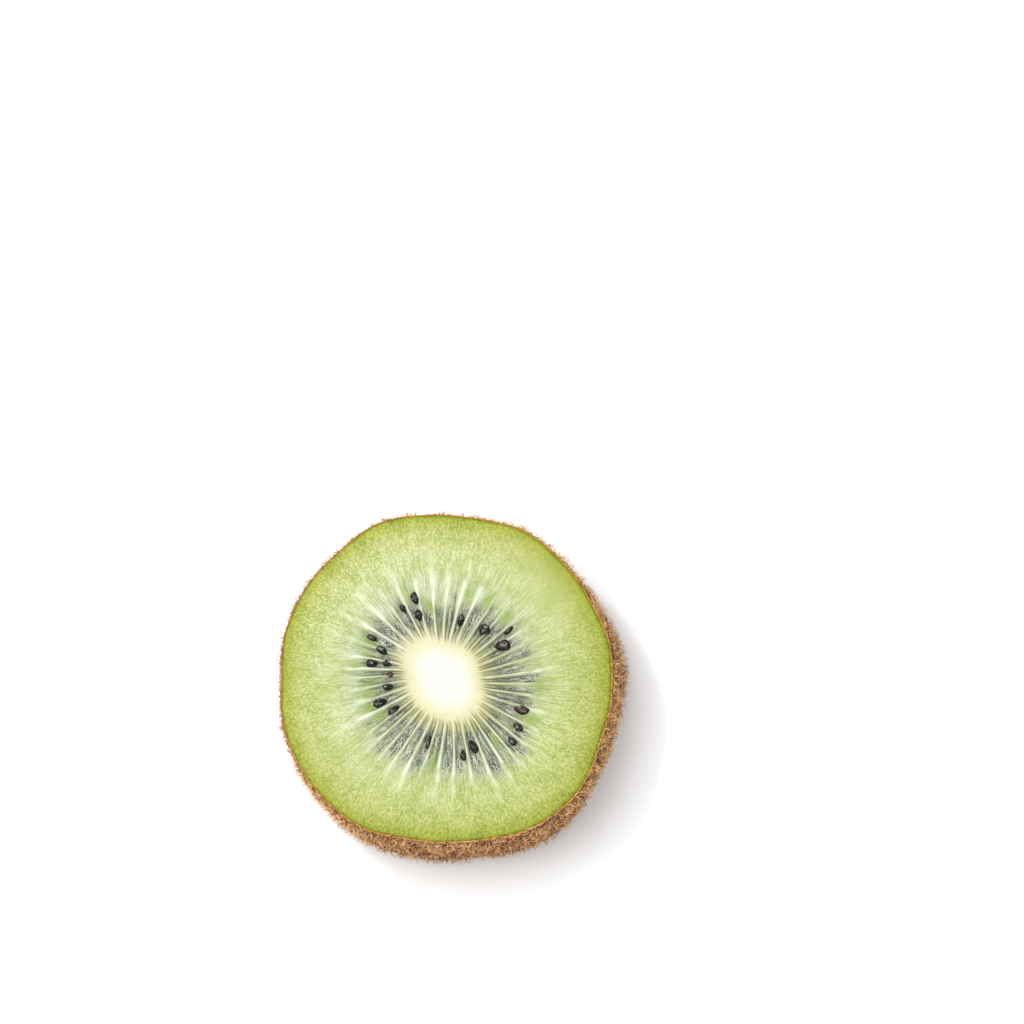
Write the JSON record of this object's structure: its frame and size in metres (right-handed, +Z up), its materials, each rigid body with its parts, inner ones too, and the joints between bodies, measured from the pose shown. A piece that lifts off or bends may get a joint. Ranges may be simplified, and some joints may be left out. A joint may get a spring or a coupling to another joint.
{
  "type": "kiwi fruit slice",
  "caption": "Thick round slice of ripe green kiwi fruit lying flat: pale core, rays of flesh with small black seeds between them, and a thin brown fuzzy skin round its side.",
  "frame": {"origin": "middle of the underside of the slice's box, on the surface that it lies on", "axes": "+Z straight up through the core, out of the wider cut face; +X and +Y lie in the plane of the lower cut face"},
  "size_m": [0.0502, 0.051, 0.0132],
  "materials": {
    "flesh": "wet juicy green flesh with pale rays, darker towards the skin",
    "core": "moist cream-white core",
    "skin": "dull brown skin",
    "fuzz": "short curly orange-brown hairs",
    "seed": "shiny black-brown seeds"
  },
  "bodies": {
    "root": {"kiwi_slice": "flesh"}
  },
  "joints": []
}
